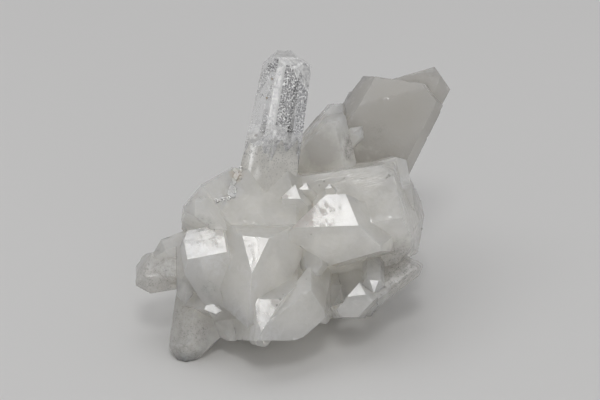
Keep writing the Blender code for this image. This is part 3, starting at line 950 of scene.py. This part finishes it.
def milkyBody():
    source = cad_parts["quartz_cluster"]
    bm = bmesh.new()
    bm.from_mesh(source.data)
    bmesh.ops.remove_doubles(bm, verts=bm.verts[:], dist=1e-6)
    mesh = bpy.data.meshes.new("milky_mass")
    bm.to_mesh(mesh)
    bm.free()
    whole = bpy.data.objects.new("milky_mass", mesh)
    bpy.context.scene.collection.objects.link(whole)
    room = prismRoom()
    roomMesh = bpy.data.meshes.new("prismRoom")
    room.to_mesh(roomMesh)
    room.free()
    cutter = bpy.data.objects.new("prismRoom", roomMesh)
    bpy.context.scene.collection.objects.link(cutter)
    cut = whole.modifiers.new("room", "BOOLEAN")
    cut.operation = "DIFFERENCE"
    cut.solver = "EXACT"
    cut.object = cutter
    bpy.context.view_layer.update()
    graph = bpy.context.evaluated_depsgraph_get()
    carved = bpy.data.meshes.new_from_object(whole.evaluated_get(graph))
    bpy.data.objects.remove(whole)
    bpy.data.objects.remove(cutter)
    bm = bmesh.new()
    bm.from_mesh(carved)
    bmesh.ops.remove_doubles(bm, verts=bm.verts[:], dist=2e-6)
    bmesh.ops.dissolve_limit(bm, angle_limit=math.radians(0.4), verts=bm.verts[:], edges=bm.edges[:])
    print("carved body", len(bm.faces), "faces")
    refine(bm, lambda p: body["fine"] * mm)
    print("refined body", len(bm.faces), "faces")
    wearEdges(bm)
    bm.normal_update()
    lit = bm.faces.layers.float.new("lit")
    tip, axis, sides = prismSides(body["prismGap"])
    for f in bm.faces:
        f[lit] = 1.0 if f.normal.dot(litNormal) > body["litLimit"] else 0.0
        middle = f.calc_center_median()
        inPrism = all((middle - point).dot(out) < 0.0 for point, out in sides)
        deep = (tip - middle).dot(axis) / mm
        if inPrism and deep < prism["length"]:
            f.material_index = 1
    materials = [milkyMaterial(), milkInsideMaterial()]
    return pieceOf(bm, "milky_mass", materials, smoothAngle=body["crisp"])


def wearEdges(bm):
    # Knocks small chips out of the edges, and rounds the crystals that are worn.
    bm.normal_update()
    crest = set()
    for e in bm.edges:
        if not e.is_manifold or e.calc_face_angle_signed(0.0) < math.radians(14.0):
            continue
        if any(f.normal.dot(litNormal) > body["litNear"] for f in e.link_faces):
            continue
        crest.update(e.verts)
    crest = sorted(crest, key=lambda v: v.index)
    tree = KDTree(len(crest))
    for k, v in enumerate(crest):
        tree.insert(v.co, k)
    tree.balance()
    moves = []
    kept = {v for f in bm.faces if f.normal.dot(litNormal) > body["litLimit"] for v in f.verts}
    for v in bm.verts:
        found = tree.find(v.co)
        if found[2] is None or found[2] > body["chipReach"] * mm:
            continue
        if v in kept:
            continue
        near = 1.0 - found[2] / (body["chipReach"] * mm)
        chip = noise.noise(v.co / mm * 0.7) - body["chipFrom"]
        if chip > 0.0:
            moves.append((v, v.normal * -min(1.0, chip * 4.0) * near * body["chipDepth"] * mm))
    for v, move in moves:
        v.co += move
    worn = []
    soft = [(seenAt(px, py, near), radius * mm) for px, py, near, radius in body["wornAt"]]
    for v in bm.verts:
        if v not in kept and any((v.co - centre).length < radius for centre, radius in soft):
            worn.append(v)
    for k in range(body["wornPasses"]):
        bmesh.ops.smooth_vert(bm, verts=worn, factor=0.5, use_axis_x=True, use_axis_y=True, use_axis_z=True)
    print("worn corners", len(worn), "chipped", len(moves))


# Small crystal points that glint, and the growth steps where the prism meets the body
points = {
    "capAngle": math.radians(51.79),
    "sunk": 0.15,
    "blunt": 0.1,
    "stepThick": 1.1,
    "stepBevel": 0.08,
    "stepTilt": (-60.0, -30.0),
    "seed": 11,
    # picture place and size in mm
    "glints": (
        (390, 176, 0.42), (387.5, 177.5, 0.3), (392, 174.6, 0.26), (385, 287, 0.42), (382, 294.5, 0.36),
        (320, 185, 0.26), (324, 182, 0.24), (335, 188, 0.3), (345, 178, 0.3), (421.5, 228, 0.34),
        (193, 222, 0.34), (197, 219, 0.3), (204, 224, 0.36), (209, 226, 0.3), (214, 229, 0.3),
        (190, 227, 0.28), (216, 203, 0.26), (222, 199, 0.3), (219, 206, 0.22), (226, 196, 0.3),
        (188, 213, 0.3), (187, 219, 0.26),
        (197, 333, 0.34), (203, 329, 0.26), (280, 300, 0.34), (277, 306, 0.3), (283, 295, 0.24),
        (252.5, 279, 0.3), (253.5, 287, 0.26), (367, 256, 0.26), (372, 262, 0.22), (181, 357, 0.24),
        (304, 232, 0.22), (311, 234, 0.2), (149, 265, 0.3), (158, 251, 0.22), (306, 279, 0.24),
        (341, 316, 0.26),
    ),
    # growth steps: first and last picture place, how many, width and height in mm, scatter in pixels
    "steps": (
        ((236, 171), (232, 196), 11, 1.6, 0.52, 1.0),
        ((241, 168), (240, 178), 4, 0.9, 0.4, 0.8),
        ((234, 187), (231, 195), 3, 1.3, 0.6, 0.8),
        ((229, 198), (216, 201), 7, 0.9, 0.34, 1.0),
    ),
}


def surfaceAt(surface, px, py):
    # Where a line of sight through a picture place meets the body.
    eye = placeOf(0.0, 0.0, view["distance"])
    hit = surface.ray_cast(eye, (seenAt(px, py, 0.0) - eye).normalized())
    return hit[0]


def litTurn(twist):
    # Turns a six-sided point so that one of its end faces shares the lit direction.
    leanTo = headingOf(twist, 0.0)
    inward = (leanTo - litNormal * leanTo.dot(litNormal)).normalized()
    axis = litNormal * math.cos(points["capAngle"]) + inward * math.sin(points["capAngle"])
    front = litNormal * math.sin(points["capAngle"]) - inward * math.cos(points["capAngle"])
    return axis, Matrix((front.cross(axis), front, axis)).transposed().to_4x4()


def addPoint(bm, at, size, twist):
    axis, turn = litTurn(twist)
    rise = size * (1.0 - points["blunt"]) * math.cos(math.radians(30.0)) * math.tan(points["capAngle"])
    spot = Matrix.Translation(at - axis * rise * points["sunk"] * mm) @ turn
    bmesh.ops.create_cone(bm, cap_ends=True, segments=6, radius1=size * mm,
                          radius2=size * points["blunt"] * mm, depth=rise * mm, matrix=spot)


def addStep(bm, at, width, height, tilt):
    # One small ledge whose broad face shares the lit direction.
    slant = headingOf(tilt, 0.0)
    side = (slant - litNormal * slant.dot(litNormal)).normalized()
    turn = Matrix((side, litNormal.cross(side), litNormal)).transposed().to_4x4()
    size = Matrix.Diagonal((width * mm, height * mm, points["stepThick"] * mm, 1.0))
    block = bmesh.ops.create_cube(bm, size=1.0, matrix=Matrix.Translation(at) @ turn @ size)
    edges = {e for v in block["verts"] for e in v.link_edges}
    bmesh.ops.bevel(bm, geom=list(edges), offset=height * points["stepBevel"] * mm, segments=1,
                    profile=0.5, affect="EDGES", material=-1)


def smallPoints(milk):
    mesh = milk.data
    surface = BVHTree.FromPolygons([v.co for v in mesh.vertices], [p.vertices for p in mesh.polygons])
    rng = random.Random(points["seed"])
    bm = bmesh.new()
    for px, py, size in points["glints"]:
        at = surfaceAt(surface, px, py)
        if at is not None:
            addPoint(bm, at, size, rng.uniform(-160.0, 160.0))
    for first, last, count, width, height, scatter in points["steps"]:
        for k in range(count):
            share = (k + rng.uniform(-0.2, 0.2)) / (count - 1)
            px = first[0] + (last[0] - first[0]) * share + rng.uniform(-scatter, scatter)
            py = first[1] + (last[1] - first[1]) * share
            at = surfaceAt(surface, px, py)
            if at is not None:
                tilt = rng.uniform(*points["stepTilt"])
                addStep(bm, at, width * rng.uniform(0.5, 1.2), height * rng.uniform(0.7, 1.3), tilt)
    bm.normal_update()
    lit = bm.faces.layers.float.new("lit")
    for f in bm.faces:
        f[lit] = 1.0 if f.normal.dot(litNormal) > body["litNear"] else 0.0
    print("small points", len(bm.faces), "faces")
    return pieceOf(bm, "small_points", [mesh.materials[0]])


# Stage, light and camera
studio = {
    "floorTone": (0.72, 0.715, 0.705, 1.0),
    "world": (0.62, 0.62, 0.63, 1.0),
    "worldStrength": 0.66,
    "floorRoughness": 0.9,
    "floorShine": 0.2,
    # soft lights: name, direction, distance in metres, width in metres, power in watts
    "lights": (
        ("flashBox", tippedUp(2.0 * view["litTilt"]), 1.2, 0.26, 2.3),
        ("topBox", Vector((-0.25, 0.15, 1.0)).normalized(), 1.2, 1.0, 3.0),
        ("frontBox", headingOf(-80.0, 50.0), 1.0, 0.9, 9.5),
    ),
}


def softbox(name, aim, distance, width, power):
    # A square soft light that faces the middle of the object.
    data = bpy.data.lights.new(name, "AREA")
    data.shape = "SQUARE"
    data.size = width
    data.energy = power
    lamp = bpy.data.objects.new(name, data)
    bpy.context.scene.collection.objects.link(lamp)
    lamp.location = placeOf(0.0, 0.0, 0.0) + aim * distance
    lamp.rotation_euler = aim.to_track_quat("Z", "Y").to_euler()


def setStudio():
    bm = bmesh.new()
    bmesh.ops.create_grid(bm, x_segments=4, y_segments=4, size=3.0)
    mesh = bpy.data.meshes.new("floor")
    bm.to_mesh(mesh)
    bm.free()
    floor = bpy.data.objects.new("floor", mesh)
    bpy.context.scene.collection.objects.link(floor)
    paper = bpy.data.materials.new("paper")
    paper.use_nodes = True
    shader = paper.node_tree.nodes["Principled BSDF"]
    shader.inputs["Base Color"].default_value = studio["floorTone"]
    shader.inputs["Roughness"].default_value = studio["floorRoughness"]
    shader.inputs["Specular IOR Level"].default_value = studio["floorShine"]
    mesh.materials.append(paper)
    world = bpy.data.worlds.new("studio")
    bpy.context.scene.world = world
    world.use_nodes = True
    sky = world.node_tree.nodes["Background"]
    sky.inputs[0].default_value = studio["world"]
    sky.inputs[1].default_value = studio["worldStrength"]
    for light in studio["lights"]:
        softbox(*light)


def setCamera():
    data = bpy.data.cameras.new("camera")
    data.lens = view["lens"]
    data.sensor_width = 36.0
    data.clip_start = 0.01
    data.clip_end = 20.0
    camera = bpy.data.objects.new("camera", data)
    bpy.context.scene.collection.objects.link(camera)
    camera.matrix_world = Matrix.Translation(placeOf(0.0, 0.0, view["distance"])) @ upright.to_4x4()
    bpy.context.scene.camera = camera
    bpy.context.scene.view_settings.view_transform = "Standard"


setStudio()
setCamera()
mass = milkyBody()
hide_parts("quartz_cluster")
clearPrism()
prismVeilsAndHighlights()
smallPoints(mass)
